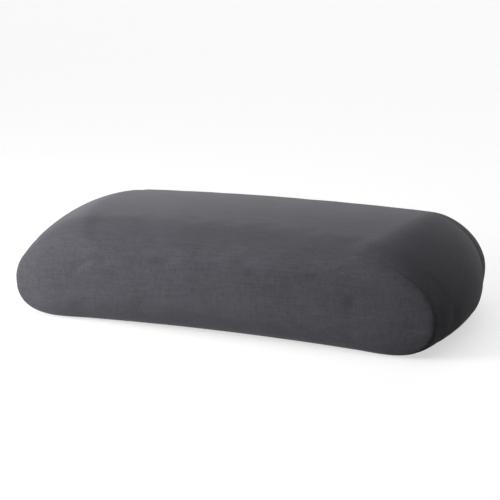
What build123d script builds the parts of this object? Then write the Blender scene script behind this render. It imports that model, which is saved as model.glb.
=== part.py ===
"""Kneeling pad: one block of foam in a stretched knit cover that closes with a coil zip at the back.

Millimetres. +X runs along the pad, -Y points to its front, +Z is up. The origin is on the floor,
under the middle of the pad's box.
"""
from build123d import *
from math import cos, radians, sin
import os

os.makedirs("parts", exist_ok=True)

# ---- Driving dimensions: the whole pad ----------------------------------------------------------
BODY_DEPTH = 221.0  # front face to back face
ZIP_STANDS_PROUD = 5.0  # from the back face to the top of the slider's bail
SEAM_HALF_LENGTH = 210.0  # half of the front and back seam outlines
SHOULDER_HEIGHT = 94.0  # top of the seam outline where its upper corners begin
TOP_RISE = 3.0  # the long top line bows up by this much at the middle
WIDEST_HEIGHT = 37.0  # height at which the ends reach furthest out
UPPER_CORNER_RUN = 66.0  # how far the upper corners reach in from the ends
LOWER_CORNER_RUN = 55.0

# How the outline grows half-way between the two seams, where the stuffing pushes the band out
BAND_END_SWELL = 11.0
BAND_TOP_SWELL = 6.0

# Front and back panels bulge past their seams. Each draws in by these amounts at its face.
FRONT_BULGE = {"depth": 10.0, "end": 45.0, "top": 25.0, "bottom": 25.0}
BACK_BULGE = {"depth": 34.0, "end": 18.0, "top": 15.0, "bottom": 30.0}
BULGE_STATIONS = (0.0, 30.0, 60.0, 90.0)  # degrees around a bulge, from its seam to its face

# ---- Driving dimensions: cover, seams and core --------------------------------------------------
CLOTH = 1.5  # knit cover
SEAM_GAP = 1.0  # room for the thread between two panels' edges
ALLOWANCE_WIDTH = 8.0  # turned-in edge of each panel, measured from the outside
ALLOWANCE_THICKNESS = 1.2
THREAD_INSET = 0.5  # the thread sits this far below the cover's surface
THREAD = 0.8
BASE_HALF_LENGTH = 150.0  # the flat base panel
BASE_ZONE = 14.0  # the band below this height, within the base's length, is the base panel
CORE_CLEARANCE = 0.4  # between the cover and the foam

# ---- Driving dimensions: zip --------------------------------------------------------------------
ZIP_HEIGHT = 50.0
SLOT_HALF_LENGTH = 170.0
SLOT_HALF_WIDTH = 5.0
TAPE_HALF_LENGTH = 174.0
TAPE_THICKNESS = 0.8
TAPE_INNER = 1.2  # the two tapes stop this far from the zip's centre line
TAPE_OUTER = 12.0
COIL_START = -160.0
COIL_END = 159.0
COIL_THICKNESS = 2.1
COIL_OUTER = 2.8
TOOTH_PITCH = 2.0
TOOTH_WIDTH = 0.8
TOOTH_PAST_CENTRE = 0.6
STITCH_OFFSET = 7.5  # top-stitching rows, from the zip's centre line
STITCH_HALF_LENGTH = 168.0
STITCH_WIDTH = 0.5
STITCH_PROUD = 0.4
TACK_WIDTH = 1.6
TACK_HALF_HEIGHT = 8.0
CHANNEL_HALF_HEIGHT = 16.0  # room in the foam behind the zip
CHANNEL_HALF_LENGTH = 180.0

SLIDER_TAIL = 153.0  # the slider at the closed end of the zip
SLIDER_NOSE = 164.0
SLIDER_TAIL_HALF_WIDTH = 3.9
SLIDER_NOSE_HALF_WIDTH = 4.4
SLIDER_WALL = 0.7
SLIDER_PLATE = 1.2
SLIDER_CLEARANCE = 0.5  # from the slider to the coil and the tape
BRIDGE_LENGTH = 3.0
BRIDGE_HALF_WIDTH = 0.8
BRIDGE_TO_NOSE = 0.5
BAIL_LENGTH = 7.0
BAIL_HALF_WIDTH = 1.1
BAIL_BAR = 1.2
TAB_PIN_RADIUS = 0.6
TAB_PIN_GAP = 0.3
TAB_THICKNESS = 1.0
TAB_LENGTH = 26.0
TAB_EYE_HALF_WIDTH = 3.2
TAB_TIP_HALF_WIDTH = 3.9
TAB_WINDOW_LENGTH = 6.0
TAB_WINDOW_HALF_WIDTH = 1.6
STOP_LENGTH = 2.5
STOP_INNER = 0.6  # a top stop's edges, from the zip's centre line
STOP_OUTER = 3.0
STOP_WALL = 0.6
STOP_CLEARANCE = 0.05
TOP_STOP_START = 165.5
BOTTOM_STOP_START = -163.5

# ---- Worked out from the driving dimensions -----------------------------------------------------
FRONT_FACE_Y = -(BODY_DEPTH + ZIP_STANDS_PROUD) / 2
BACK_FACE_Y = FRONT_FACE_Y + BODY_DEPTH
FRONT_SEAM_Y = FRONT_FACE_Y + FRONT_BULGE["depth"]
BACK_SEAM_Y = BACK_FACE_Y - BACK_BULGE["depth"]
BAND_MIDDLE_Y = (FRONT_SEAM_Y + BACK_SEAM_Y) / 2
BAND_DEPTH = BACK_SEAM_Y - FRONT_SEAM_Y - SEAM_GAP
BAND_FOOT_X = BASE_HALF_LENGTH + SEAM_GAP / 2
CORE_INSET = CLOTH + CORE_CLEARANCE
FAR = 3 * SEAM_HALF_LENGTH  # size of a cutting box that has to pass the whole pad

TAPE_FRONT_Y = BACK_FACE_Y - CLOTH
TAPE_BACK_Y = TAPE_FRONT_Y - TAPE_THICKNESS
COIL_TOP_Y = TAPE_FRONT_Y + COIL_THICKNESS
FRONT_PLATE_Y = COIL_TOP_Y + SLIDER_CLEARANCE
FRONT_PLATE_TOP_Y = FRONT_PLATE_Y + SLIDER_PLATE
REAR_PLATE_TOP_Y = TAPE_BACK_Y - SLIDER_CLEARANCE
REAR_PLATE_Y = REAR_PLATE_TOP_Y - SLIDER_PLATE
CHANNEL_FLOOR_Y = REAR_PLATE_Y - SLIDER_CLEARANCE
BAIL_TOP_Y = BACK_FACE_Y + ZIP_STANDS_PROUD
BAIL_MIDDLE_X = SLIDER_TAIL + BAIL_LENGTH / 2 + SLIDER_CLEARANCE
TAB_PIN_Y = FRONT_PLATE_TOP_Y + TAB_PIN_GAP + TAB_PIN_RADIUS


def facing_back(y):
    """An XZ plane at y, with X to the right and Z up. Extruding by a negative amount goes to +Y."""
    return Plane.XZ.offset(-y)


def outline(y, end=0.0, top=0.0, bottom=0.0):
    """The pad's outline at y, drawn in by the given amounts at its ends, top and bottom."""
    half_length = SEAM_HALF_LENGTH - end
    share = half_length / SEAM_HALF_LENGTH
    upper_run = UPPER_CORNER_RUN * share
    lower_run = LOWER_CORNER_RUN * share
    shoulder_x = half_length - upper_run
    shoulder_z = SHOULDER_HEIGHT - top
    foot_x = half_length - lower_run
    upper_rise = shoulder_z - WIDEST_HEIGHT
    lower_rise = WIDEST_HEIGHT - bottom
    with BuildSketch(facing_back(y)) as section:
        with BuildLine():
            ThreePointArc((-shoulder_x, shoulder_z), (0, shoulder_z + TOP_RISE), (shoulder_x, shoulder_z))
            EllipticalCenterArc((shoulder_x, WIDEST_HEIGHT), upper_run, upper_rise, 0, arc_size=90)
            EllipticalCenterArc((foot_x, WIDEST_HEIGHT), lower_run, lower_rise, 270, arc_size=90)
            Line((foot_x, bottom), (-foot_x, bottom))
            EllipticalCenterArc((-foot_x, WIDEST_HEIGHT), lower_run, lower_rise, 180, arc_size=90)
            EllipticalCenterArc((-shoulder_x, WIDEST_HEIGHT), upper_run, upper_rise, 90, arc_size=90)
        make_face()
    return section.sketch


def bulge(seam_y, direction, shape, inset):
    """Sections of a bulging front (direction -1) or back (+1) panel, inset from its outer surface."""
    sections = []
    for station in BULGE_STATIONS:
        drawn_in = 1 - cos(radians(station))
        reach = (shape["depth"] - SEAM_GAP / 2 - inset) * sin(radians(station))
        sections.append(
            outline(
                seam_y + direction * (SEAM_GAP / 2 + reach),
                shape["end"] * drawn_in + inset,
                shape["top"] * drawn_in + inset,
                shape["bottom"] * drawn_in + inset,
            )
        )
    return sections


def front_bulge(inset):
    """Sections of the front panel."""
    return bulge(FRONT_SEAM_Y, -1, FRONT_BULGE, inset)


def back_bulge(inset):
    """Sections of the back panel."""
    return bulge(BACK_SEAM_Y, 1, BACK_BULGE, inset)


def band(inset, seam_gap=SEAM_GAP):
    """Sections of the band between the two seams, which swells at its middle."""
    return [
        outline(FRONT_SEAM_Y + seam_gap / 2, inset, inset, inset),
        outline(BAND_MIDDLE_Y, inset - BAND_END_SWELL, inset - BAND_TOP_SWELL, inset),
        outline(BACK_SEAM_Y - seam_gap / 2, inset, inset, inset),
    ]


def ring(y, outer, inner):
    """A flat ring that follows the seam outline, between two insets."""
    with BuildSketch(facing_back(y)) as shape:
        add(outline(y, outer, outer, outer))
        add(outline(y, inner, inner, inner), mode=Mode.SUBTRACT)
    return shape.sketch


def turned_in_edge(y):
    """The seam allowance of a panel whose edge is at y."""
    return ring(y, CLOTH / 2, ALLOWANCE_WIDTH)


def save(piece, name):
    """Label a finished piece and write it."""
    piece.part.label = name
    export_step(piece.part, f"parts/{name}.step")


# ---- Foam core ----------------------------------------------------------------------------------
# One block that fills the cover, grooved where the seam allowances and the zip press into it.
GROOVE_HALF_WIDTH = SEAM_GAP / 2 + ALLOWANCE_THICKNESS + CORE_CLEARANCE
GROOVE_FLOOR = ALLOWANCE_WIDTH + CORE_CLEARANCE

with BuildPart() as foam_core:
    loft(sections=band(CORE_INSET, -SEAM_GAP))
    loft(sections=front_bulge(CORE_INSET))
    loft(sections=back_bulge(CORE_INSET))
    for seam_y in (FRONT_SEAM_Y, BACK_SEAM_Y):
        groove = ring(seam_y + GROOVE_HALF_WIDTH, -BAND_END_SWELL, GROOVE_FLOOR)
        extrude(groove, amount=2 * GROOVE_HALF_WIDTH, mode=Mode.SUBTRACT)
    with Locations((-BASE_HALF_LENGTH, BAND_MIDDLE_Y, 0), (BASE_HALF_LENGTH, BAND_MIDDLE_Y, 0)):
        Box(2 * GROOVE_HALF_WIDTH, BAND_DEPTH, 2 * GROOVE_FLOOR, mode=Mode.SUBTRACT)
    with Locations((0, CHANNEL_FLOOR_Y, ZIP_HEIGHT)):
        Box(
            2 * CHANNEL_HALF_LENGTH,
            BACK_BULGE["depth"],
            2 * CHANNEL_HALF_HEIGHT,
            align=(Align.CENTER, Align.MIN, Align.CENTER),
            mode=Mode.SUBTRACT,
        )
save(foam_core, "foam_core")

# ---- Cover: front panel -------------------------------------------------------------------------
with BuildPart() as cover_front_panel:
    loft(sections=front_bulge(0))
    loft(sections=front_bulge(CLOTH), mode=Mode.SUBTRACT)
    extrude(turned_in_edge(FRONT_SEAM_Y - SEAM_GAP / 2), amount=ALLOWANCE_THICKNESS)
save(cover_front_panel, "cover_front_panel")

# ---- Cover: band over the top and the ends, and base panel --------------------------------------
with BuildPart() as cover_wrap_band:
    loft(sections=band(0))
    loft(sections=band(CLOTH), mode=Mode.SUBTRACT)
    extrude(turned_in_edge(FRONT_SEAM_Y + SEAM_GAP / 2), amount=-ALLOWANCE_THICKNESS)
    extrude(turned_in_edge(BACK_SEAM_Y - SEAM_GAP / 2), amount=ALLOWANCE_THICKNESS)
    with Locations((-BAND_FOOT_X, BAND_MIDDLE_Y, CLOTH / 2), (BAND_FOOT_X, BAND_MIDDLE_Y, CLOTH / 2)):
        Box(
            2 * ALLOWANCE_THICKNESS,
            BAND_DEPTH,
            ALLOWANCE_WIDTH - CLOTH / 2,
            align=(Align.CENTER, Align.CENTER, Align.MIN),
        )
    with Locations((0, BAND_MIDDLE_Y, 0)):
        Box(2 * BAND_FOOT_X, FAR, 2 * BASE_ZONE, mode=Mode.SUBTRACT)
save(cover_wrap_band, "cover_wrap_band")

# The base panel is a flat rectangle with all four edges turned in.
with BuildPart() as cover_base_panel:
    with Locations((0, BAND_MIDDLE_Y, 0)):
        Box(
            2 * (BASE_HALF_LENGTH - SEAM_GAP / 2),
            BAND_DEPTH,
            ALLOWANCE_WIDTH,
            align=(Align.CENTER, Align.CENTER, Align.MIN),
        )
    with Locations((0, BAND_MIDDLE_Y, CLOTH)):
        Box(
            2 * (BASE_HALF_LENGTH - SEAM_GAP / 2 - ALLOWANCE_THICKNESS),
            BAND_DEPTH - 2 * ALLOWANCE_THICKNESS,
            ALLOWANCE_WIDTH,
            align=(Align.CENTER, Align.CENTER, Align.MIN),
            mode=Mode.SUBTRACT,
        )
save(cover_base_panel, "cover_base_panel")

# ---- Cover: back panel, in two halves either side of the zip ------------------------------------
with BuildPart() as back_shell:
    loft(sections=back_bulge(0))
    loft(sections=back_bulge(CLOTH), mode=Mode.SUBTRACT)
    extrude(turned_in_edge(BACK_SEAM_Y + SEAM_GAP / 2), amount=-ALLOWANCE_THICKNESS)
    with Locations((0, BACK_FACE_Y, ZIP_HEIGHT)):
        Box(2 * SLOT_HALF_LENGTH, BACK_BULGE["depth"], 2 * SLOT_HALF_WIDTH, mode=Mode.SUBTRACT)

for half_name, side in (("cover_back_upper_panel", Align.MIN), ("cover_back_lower_panel", Align.MAX)):
    offset_z = THREAD / 2 if side == Align.MIN else -THREAD / 2
    with BuildPart() as back_half:
        add(back_shell.part)
        with Locations((0, BACK_SEAM_Y, ZIP_HEIGHT + offset_z)):
            Box(FAR, FAR, FAR, align=(Align.CENTER, Align.CENTER, side), mode=Mode.INTERSECT)
    save(back_half, half_name)

# ---- Seam threads -------------------------------------------------------------------------------
for seam_name, seam_y in (("front_seam_thread", FRONT_SEAM_Y), ("back_seam_thread", BACK_SEAM_Y)):
    with BuildPart() as seam_thread:
        extrude(ring(seam_y + THREAD / 2, THREAD_INSET, THREAD_INSET + THREAD), amount=THREAD)
    save(seam_thread, seam_name)

with BuildPart() as base_seam_threads:
    with Locations(
        (-BASE_HALF_LENGTH, BAND_MIDDLE_Y, THREAD_INSET + THREAD / 2),
        (BASE_HALF_LENGTH, BAND_MIDDLE_Y, THREAD_INSET + THREAD / 2),
    ):
        Box(THREAD, BAND_DEPTH - 2 * ALLOWANCE_THICKNESS, THREAD)
save(base_seam_threads, "base_seam_threads")

# Where the two back halves meet past the ends of the zip
END_THREAD_HALF_HEIGHT = THREAD / 2 - STOP_CLEARANCE
with BuildPart() as back_end_seam_threads:
    loft(sections=back_bulge(THREAD_INSET))
    loft(sections=back_bulge(CLOTH), mode=Mode.SUBTRACT)
    with Locations((0, BACK_SEAM_Y, ZIP_HEIGHT)):
        Box(FAR, FAR, 2 * END_THREAD_HALF_HEIGHT, mode=Mode.INTERSECT)
        Box(2 * TAPE_HALF_LENGTH + SEAM_GAP, FAR, THREAD, mode=Mode.SUBTRACT)
save(back_end_seam_threads, "back_end_seam_threads")

# ---- Zip: top-stitching, tapes and coils --------------------------------------------------------
with BuildPart() as zip_topstitching:
    with BuildSketch(facing_back(BACK_FACE_Y)):
        with Locations((0, ZIP_HEIGHT + STITCH_OFFSET), (0, ZIP_HEIGHT - STITCH_OFFSET)):
            Rectangle(2 * STITCH_HALF_LENGTH, STITCH_WIDTH)
        with Locations((-TAPE_HALF_LENGTH, ZIP_HEIGHT), (TAPE_HALF_LENGTH, ZIP_HEIGHT)):
            Rectangle(TACK_WIDTH, 2 * TACK_HALF_HEIGHT)
    extrude(amount=-STITCH_PROUD)
save(zip_topstitching, "zip_topstitching")

TEETH = int((COIL_END - COIL_START) / TOOTH_PITCH)
COIL_MIDDLE_X = (COIL_START + COIL_END) / 2
for half_name, side in (("upper", 1), ("lower", -1)):
    with BuildPart() as zip_tape:
        with BuildSketch(facing_back(TAPE_BACK_Y)):
            with Locations((0, ZIP_HEIGHT + side * (TAPE_INNER + TAPE_OUTER) / 2)):
                Rectangle(2 * TAPE_HALF_LENGTH, TAPE_OUTER - TAPE_INNER)
        extrude(amount=-TAPE_THICKNESS)
    save(zip_tape, f"zip_tape_{half_name}")

    # The upper row's teeth start half a pitch after the lower row's, so the rows mesh.
    first_tooth = COIL_START + (TOOTH_PITCH if side > 0 else TOOTH_PITCH / 2)
    tooth_middle_x = first_tooth + TOOTH_PITCH * (TEETH - 2) / 2
    tooth_length = TAPE_INNER + TOOTH_PAST_CENTRE
    tooth_middle_z = ZIP_HEIGHT + side * (TAPE_INNER - tooth_length / 2)
    with BuildPart() as zip_coil:
        with BuildSketch(facing_back(TAPE_FRONT_Y)):
            with Locations((COIL_MIDDLE_X, ZIP_HEIGHT + side * (TAPE_INNER + COIL_OUTER) / 2)):
                Rectangle(COIL_END - COIL_START, COIL_OUTER - TAPE_INNER)
            with Locations((tooth_middle_x, tooth_middle_z)):
                with GridLocations(TOOTH_PITCH, 1, TEETH - 1, 1):
                    Rectangle(TOOTH_WIDTH, tooth_length)
        extrude(amount=-COIL_THICKNESS)
    save(zip_coil, f"zip_coil_{half_name}")

# ---- Zip: stops ---------------------------------------------------------------------------------
STOP_BACK_Y = TAPE_BACK_Y - STOP_WALL
STOP_DEPTH = TAPE_THICKNESS + 2 * STOP_WALL
STOP_MIDDLE_Y = STOP_BACK_Y + STOP_DEPTH / 2
TAPE_SLIT = TAPE_THICKNESS + 2 * STOP_CLEARANCE
TAPE_EDGE = TAPE_INNER - STOP_CLEARANCE

STOP_SECTION_MIDDLE = (STOP_INNER + STOP_OUTER) / 2

# Each stop is crimped over the edge of its tape, so both have a slit that takes the tape.
with BuildPart() as zip_top_stops:
    with Locations((TOP_STOP_START + STOP_LENGTH / 2, STOP_MIDDLE_Y, ZIP_HEIGHT)):
        with Locations((0, 0, STOP_SECTION_MIDDLE), (0, 0, -STOP_SECTION_MIDDLE)):
            Box(STOP_LENGTH, STOP_DEPTH, STOP_OUTER - STOP_INNER)
        with Locations((0, 0, TAPE_EDGE + STOP_OUTER), (0, 0, -TAPE_EDGE - STOP_OUTER)):
            Box(2 * STOP_LENGTH, TAPE_SLIT, 2 * STOP_OUTER, mode=Mode.SUBTRACT)
save(zip_top_stops, "zip_top_stops")

with BuildPart() as zip_bottom_stop:
    with Locations((BOTTOM_STOP_START + STOP_LENGTH / 2, STOP_MIDDLE_Y, ZIP_HEIGHT)):
        Box(STOP_LENGTH, STOP_DEPTH, 2 * STOP_OUTER)
        with Locations((0, 0, TAPE_EDGE + STOP_OUTER), (0, 0, -TAPE_EDGE - STOP_OUTER)):
            Box(2 * STOP_LENGTH, TAPE_SLIT, 2 * STOP_OUTER, mode=Mode.SUBTRACT)
save(zip_bottom_stop, "zip_bottom_stop")

# ---- Zip: slider --------------------------------------------------------------------------------
SLIDER_CORNERS = (
    (SLIDER_TAIL, ZIP_HEIGHT - SLIDER_TAIL_HALF_WIDTH),
    (SLIDER_NOSE, ZIP_HEIGHT - SLIDER_NOSE_HALF_WIDTH),
    (SLIDER_NOSE, ZIP_HEIGHT + SLIDER_NOSE_HALF_WIDTH),
    (SLIDER_TAIL, ZIP_HEIGHT + SLIDER_TAIL_HALF_WIDTH),
)
SLIDER_LENGTH = SLIDER_NOSE - SLIDER_TAIL
SLIDER_MIDDLE_X = (SLIDER_TAIL + SLIDER_NOSE) / 2
SLIDER_CORNER_RADIUS = 1.2
FLANGE_BACK_Y = TAPE_FRONT_Y + SLIDER_CLEARANCE
BRIDGE_X = SLIDER_NOSE - BRIDGE_TO_NOSE - BRIDGE_LENGTH / 2
BAIL_OPENING_Y = BAIL_TOP_Y - BAIL_BAR / 2 - FRONT_PLATE_TOP_Y

with BuildPart() as zip_slider:
    for plate_y in (FRONT_PLATE_Y, REAR_PLATE_Y):
        with BuildSketch(facing_back(plate_y)) as plate:
            Polygon(*SLIDER_CORNERS, align=None)
            fillet(plate.vertices(), SLIDER_CORNER_RADIUS)
        extrude(amount=-SLIDER_PLATE)
    with BuildSketch(facing_back(FLANGE_BACK_Y)):
        Polygon(*SLIDER_CORNERS, align=None)
        with Locations((SLIDER_MIDDLE_X, ZIP_HEIGHT)):
            Rectangle(2 * SLIDER_LENGTH, 2 * (SLIDER_TAIL_HALF_WIDTH - SLIDER_WALL), mode=Mode.SUBTRACT)
        with Locations((SLIDER_TAIL, ZIP_HEIGHT), (SLIDER_NOSE, ZIP_HEIGHT)):
            Rectangle(2 * SLIDER_CORNER_RADIUS, 3 * SLIDER_NOSE_HALF_WIDTH, mode=Mode.SUBTRACT)
    extrude(amount=-(FRONT_PLATE_Y - FLANGE_BACK_Y))
    with Locations((BRIDGE_X, (FRONT_PLATE_Y + REAR_PLATE_TOP_Y) / 2, ZIP_HEIGHT)):
        Box(BRIDGE_LENGTH, FRONT_PLATE_Y - REAR_PLATE_TOP_Y, 2 * BRIDGE_HALF_WIDTH)
    with BuildSketch(Plane.XY.offset(ZIP_HEIGHT - BAIL_HALF_WIDTH)) as bail:
        with Locations((BAIL_MIDDLE_X, FRONT_PLATE_TOP_Y)):
            Rectangle(BAIL_LENGTH, BAIL_TOP_Y - FRONT_PLATE_TOP_Y, align=(Align.CENTER, Align.MIN))
        fillet(bail.vertices().group_by(Axis.Y)[-1], BAIL_BAR)
        with Locations((BAIL_MIDDLE_X, FRONT_PLATE_TOP_Y)):
            Rectangle(
                BAIL_LENGTH - 2 * BAIL_BAR,
                BAIL_OPENING_Y,
                align=(Align.CENTER, Align.MIN),
                mode=Mode.SUBTRACT,
            )
    extrude(amount=2 * BAIL_HALF_WIDTH)
save(zip_slider, "zip_slider")

# ---- Zip: pull tab ------------------------------------------------------------------------------
# It lies back over the closed zip and turns about its pin, which passes under the slider's bail.
TAB_TIP_X = BAIL_MIDDLE_X - TAB_LENGTH
TAB_CORNER_RADIUS = 2.0
TAB_GRIP_MARGIN = 1.6
TAB_GRIP_LENGTH = 11.0
TAB_GRIP_DEPTH = 0.25

with BuildPart() as zip_pull_tab:
    with BuildSketch(facing_back(TAB_PIN_Y - TAB_THICKNESS / 2)) as blade:
        Polygon(
            (BAIL_MIDDLE_X, ZIP_HEIGHT - TAB_EYE_HALF_WIDTH),
            (BAIL_MIDDLE_X, ZIP_HEIGHT + TAB_EYE_HALF_WIDTH),
            (TAB_TIP_X, ZIP_HEIGHT + TAB_TIP_HALF_WIDTH),
            (TAB_TIP_X, ZIP_HEIGHT - TAB_TIP_HALF_WIDTH),
            align=None,
        )
        fillet(blade.vertices().group_by(Axis.X)[0], TAB_CORNER_RADIUS)
        with Locations((BAIL_MIDDLE_X, ZIP_HEIGHT)):
            Rectangle(
                TAB_WINDOW_LENGTH,
                2 * TAB_WINDOW_HALF_WIDTH,
                align=(Align.MAX, Align.CENTER),
                mode=Mode.SUBTRACT,
            )
    extrude(amount=-TAB_THICKNESS)
    with BuildSketch(facing_back(TAB_PIN_Y + TAB_THICKNESS / 2)):
        with Locations((TAB_TIP_X + TAB_GRIP_MARGIN, ZIP_HEIGHT)):
            RectangleRounded(
                TAB_GRIP_LENGTH,
                2 * (TAB_TIP_HALF_WIDTH - TAB_GRIP_MARGIN),
                TAB_CORNER_RADIUS / 2,
                align=(Align.MIN, Align.CENTER),
            )
    extrude(amount=TAB_GRIP_DEPTH, mode=Mode.SUBTRACT)
    with Locations((BAIL_MIDDLE_X, TAB_PIN_Y, ZIP_HEIGHT)):
        Cylinder(TAB_PIN_RADIUS, 2 * TAB_EYE_HALF_WIDTH)
save(zip_pull_tab, "zip_pull_tab")
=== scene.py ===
"""Kneeling pad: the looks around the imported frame.

Metres. +X runs along the pad, -Y points to its front, +Z is up. Each cover panel is a closed cloth
shell whose edges roll into the seams, on a grid of stations (from front to back) and columns
(around the pad's outline).
"""

from math import cos, pi, radians, sin

import bmesh
import bpy
import numpy as np
from mathutils import Matrix, Vector


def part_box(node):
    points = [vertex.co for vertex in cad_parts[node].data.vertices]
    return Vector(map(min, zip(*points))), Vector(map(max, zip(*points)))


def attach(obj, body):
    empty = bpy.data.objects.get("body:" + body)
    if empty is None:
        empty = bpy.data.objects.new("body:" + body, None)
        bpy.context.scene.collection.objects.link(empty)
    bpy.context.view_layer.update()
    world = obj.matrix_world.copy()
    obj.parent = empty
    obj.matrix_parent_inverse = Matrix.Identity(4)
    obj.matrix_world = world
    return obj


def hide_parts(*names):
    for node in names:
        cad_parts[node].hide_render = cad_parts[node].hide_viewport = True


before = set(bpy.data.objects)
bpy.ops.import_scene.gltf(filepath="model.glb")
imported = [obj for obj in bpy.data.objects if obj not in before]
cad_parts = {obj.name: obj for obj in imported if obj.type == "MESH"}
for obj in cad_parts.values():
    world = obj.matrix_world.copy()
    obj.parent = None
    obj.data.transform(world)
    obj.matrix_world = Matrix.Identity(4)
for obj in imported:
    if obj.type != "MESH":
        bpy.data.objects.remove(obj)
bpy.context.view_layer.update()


def middle(node, axis):
    """The middle of a CAD node's box along an axis, 0 to 2."""
    low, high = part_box(node)
    return (low[axis] + high[axis]) / 2


# ---- Places taken from the frame ----------------------------------------------------------------
X, Y, Z = 0, 1, 2
FRONT_SEAM_Y = middle("front_seam_thread", Y)
BACK_SEAM_Y = middle("back_seam_thread", Y)
BACK_FACE_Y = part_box("cover_back_upper_panel")[1].y
BAND_MIDDLE_Y = (FRONT_SEAM_Y + BACK_SEAM_Y) / 2
STUFFED = 1.007  # the stuffed cover reaches a little further than its plain solid
HALF_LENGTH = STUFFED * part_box("cover_back_lower_panel")[1].x
ZIP_Z = middle("zip_slider", Z)
BASE_END_X = (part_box("base_seam_threads")[1].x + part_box("cover_base_panel")[1].x) / 2
TAPE_END_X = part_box("zip_tape_upper")[1].x

# ---- The pad's shape ----------------------------------------------------------------------------
SHOULDER_HEIGHT = 0.0909  # top of the seam outline
WIDEST_HEIGHT = 0.0371  # where the ends reach furthest out
UPPER_CORNER = {"run": 0.0735, "back_run": 0.0555, "power": 1.85}
LOWER_CORNER = {"run": 0.0575, "back_run": 0.0440, "power": 2.7}
ARCH_TOP = 0.0058  # the long lines of the top bow up, and those of the front's foot a little less
ARCH_FOOT = 0.0037
BACK_RISE = 0.0022  # the top is that much higher at the back seam than at the front seam
FRONT_HOLLOW = 0.008  # the front seam bows back that much in the middle of its length
BAND_END_SWELL = 0.0118  # the band stands out that much between its seams, at the ends and on top
BAND_TOP_SWELL = 0.0074
BAND_END_CARRY = 0.35  # share of the end swell's slope that carries on into the back panels
# A bulge goes past its seam by a depth, and its face is drawn in at the end, top and foot
FRONT_BULGE = {"depth": 0.0095, "end": 0.068, "top": 0.0220, "foot": 0.034, "middle": 0.055}
FRONT_FILL = 0.011  # the front bulges that much more in the middle of its length
BACK_DEPTH = BACK_FACE_Y - BACK_SEAM_Y
BACK_BULGE = {"depth": BACK_DEPTH, "end": 0.009, "top": 0.012, "foot": 0.028, "middle": ZIP_Z}
BULGE_BLEND = 0.015  # height over which a bulge's upper and lower shapes melt together
BULGE_CORNER_MOST = 0.85  # most that a bulge's corner point is drawn in, as a share of its face's
FRONT_CROWN = 0.0008  # the front face stands that much further forward at its line than at its edge
FRONT_LINE_HALF = 0.118  # the front face closes on a line of this half length
FRONT_SEAM_LEAD = 0.0022  # the front seam's ends, in front of its place in the frame
RIDGE_DROP = 0.0055  # the top rolls down towards the front seam by this much
RIDGE_START = 0.70  # share of the way from the band's middle to the front seam
RIDGE_FADE = 0.25  # share of the height over the widest place where the ridge begins
SPLIT_SAMPLES = 2000

# Stations: 0 front line, 1 edge of the front face, 2 front seam, 3 back seam, 4 edge of the flat
# back face, 5 the zip
FACE_EDGE, FRONT_SEAM, BACK_SEAM, BACK_EDGE, ZIP_EDGE = 1.0, 2.0, 3.0, 4.0, 5.0
ZIP_SLOT_HALF = 0.0046
ZIP_SLOT_END = 0.168  # the zip's slot is open up to here, either side of the middle
SLOT_CLOSED_X = 0.1725  # past this the two back panels meet in an end seam
SLOT_EDGE_X = 0.1745
END_SEAM_HALF = 0.0002


def smooth(edge0, edge1, value):
    """0 below edge0, 1 above edge1, and smooth between."""
    t = np.clip((value - edge0) / (edge1 - edge0), 0, 1)
    return t * t * (3 - 2 * t)


def unit(vectors):
    """Vectors of length 1 in the same directions."""
    return vectors / np.maximum(np.linalg.norm(vectors, axis=-1, keepdims=True), 1e-12)


def outline_height(x, upper, backness=0.0):
    """Height of the outline at x, on its upper or lower side. Its corners are tighter at the back."""
    height = []
    corners = (UPPER_CORNER, SHOULDER_HEIGHT - WIDEST_HEIGHT), (LOWER_CORNER, -WIDEST_HEIGHT)
    for corner, rise in corners:
        run = corner["run"] + (corner["back_run"] - corner["run"]) * backness
        t = np.clip((np.abs(x) - HALF_LENGTH + run) / run, 0, 1)
        height.append(WIDEST_HEIGHT + rise * (1 - t ** corner["power"]) ** (1 / corner["power"]))
    return np.where(upper, height[0], height[1])


def bulge_height(z, shape, share):
    """Height of an outline point when its bulge has drawn in by a share, 0 to 1."""
    middle_z = shape["middle"]
    top = shape["top"] / (SHOULDER_HEIGHT - middle_z)
    foot = shape["foot"] / middle_z
    draw = foot + (top - foot) * smooth(-BULGE_BLEND, BULGE_BLEND, z - middle_z)
    return middle_z + (z - middle_z) * (1 - draw * share)


def split_angle(middle_z, backness):
    """The angle at which the right end's outline passes a height."""
    angles = np.linspace(0, pi / 2, SPLIT_SAMPLES)
    heights = outline_height(HALF_LENGTH * np.cos(angles), True, backness)
    return float(np.interp(middle_z, heights, angles))


def turn_from(split, turn):
    """Outline angle for a turn of 0 to 2 pi that starts at a split and is even over and under it."""
    over = split + turn / pi * (pi - 2 * split)
    under = pi - split + (turn - pi) / pi * (pi + 2 * split)
    return np.where(turn <= pi, over, under)


def turn_back(split, angle):
    """The turn for an outline angle: the inverse of turn_from."""
    angle = np.where(angle < split, angle + 2 * pi, angle)
    over = (angle - split) / (pi - 2 * split) * pi
    under = pi + (angle - pi + split) / (pi + 2 * split) * pi
    return np.where(angle <= pi - split, over, under)


FRONT_SPLIT = split_angle(FRONT_BULGE["middle"], 0)
BACK_SPLIT = split_angle(BACK_BULGE["middle"], 1)


def slot_half(x):
    """Half of the gap between the two back panels at x."""
    closed = smooth(ZIP_SLOT_END, SLOT_CLOSED_X, np.abs(x))
    return ZIP_SLOT_HALF + (END_SEAM_HALF - ZIP_SLOT_HALF) * closed


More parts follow.
